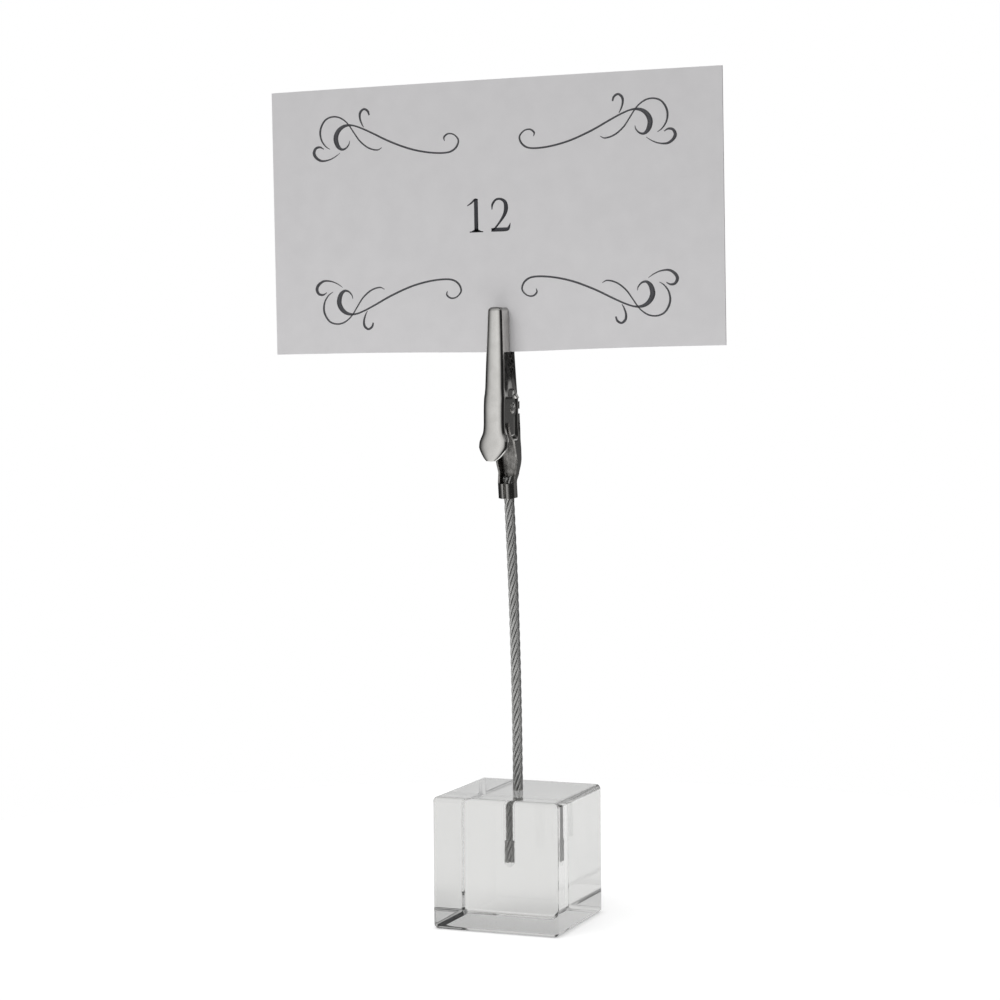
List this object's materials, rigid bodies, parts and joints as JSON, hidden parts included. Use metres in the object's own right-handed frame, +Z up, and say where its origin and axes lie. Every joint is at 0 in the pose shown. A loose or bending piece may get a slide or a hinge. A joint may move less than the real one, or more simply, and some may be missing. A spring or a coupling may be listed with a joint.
{
  "type": "place card holder",
  "caption": "Clear cube base with a bowed wire-rope stem and a sprung, toothed clip on top that grips an upright card.",
  "frame": {"origin": "centre of the cube's bottom face", "axes": "+Z up, -Y the front of the card, +X to the right of a person who reads the card"},
  "size_m": [0.0905, 0.0252, 0.1588],
  "materials": {
    "clear_acrylic": "clear, polished",
    "clear_glue": "clear, cured",
    "rope_wire": "bright drawn wire",
    "nickel_plate": "nickel plated, bright",
    "nickel_rivet": "nickel plated, domed head",
    "spring_wire": "drawn spring wire",
    "card_stock": "matt card"
  },
  "bodies": {
    "holder": {"base_cube": "clear_acrylic", "bore_adhesive": "clear_glue", "stem_core_wire": "rope_wire", "stem_outer_wire_1": "rope_wire", "stem_outer_wire_2": "rope_wire", "stem_outer_wire_3": "rope_wire", "stem_outer_wire_4": "rope_wire", "stem_outer_wire_5": "rope_wire", "stem_outer_wire_6": "rope_wire", "rear_jaw": "nickel_plate", "pivot_rivet": "nickel_rivet", "torsion_spring": "spring_wire"},
    "front_jaw_body": {"front_jaw": "nickel_plate"},
    "card_body": {"card": "card_stock"}
  },
  "joints": [
    {"name": "jaw_hinge", "type": "hinge", "parent": "holder", "child": "front_jaw_body", "pos_m": [0, -0.00651, 0.0975], "axis": [1, 0, 0], "range_deg": [0, 25], "stiffness_Nm_per_rad": 0.05, "springref_deg": -34.38, "deforming": ["torsion_spring"]},
    {"name": "card_lift", "type": "slide", "parent": "holder", "child": "card_body", "axis": [0, 0, 1], "range_m": [0, 0.012]}
  ]
}
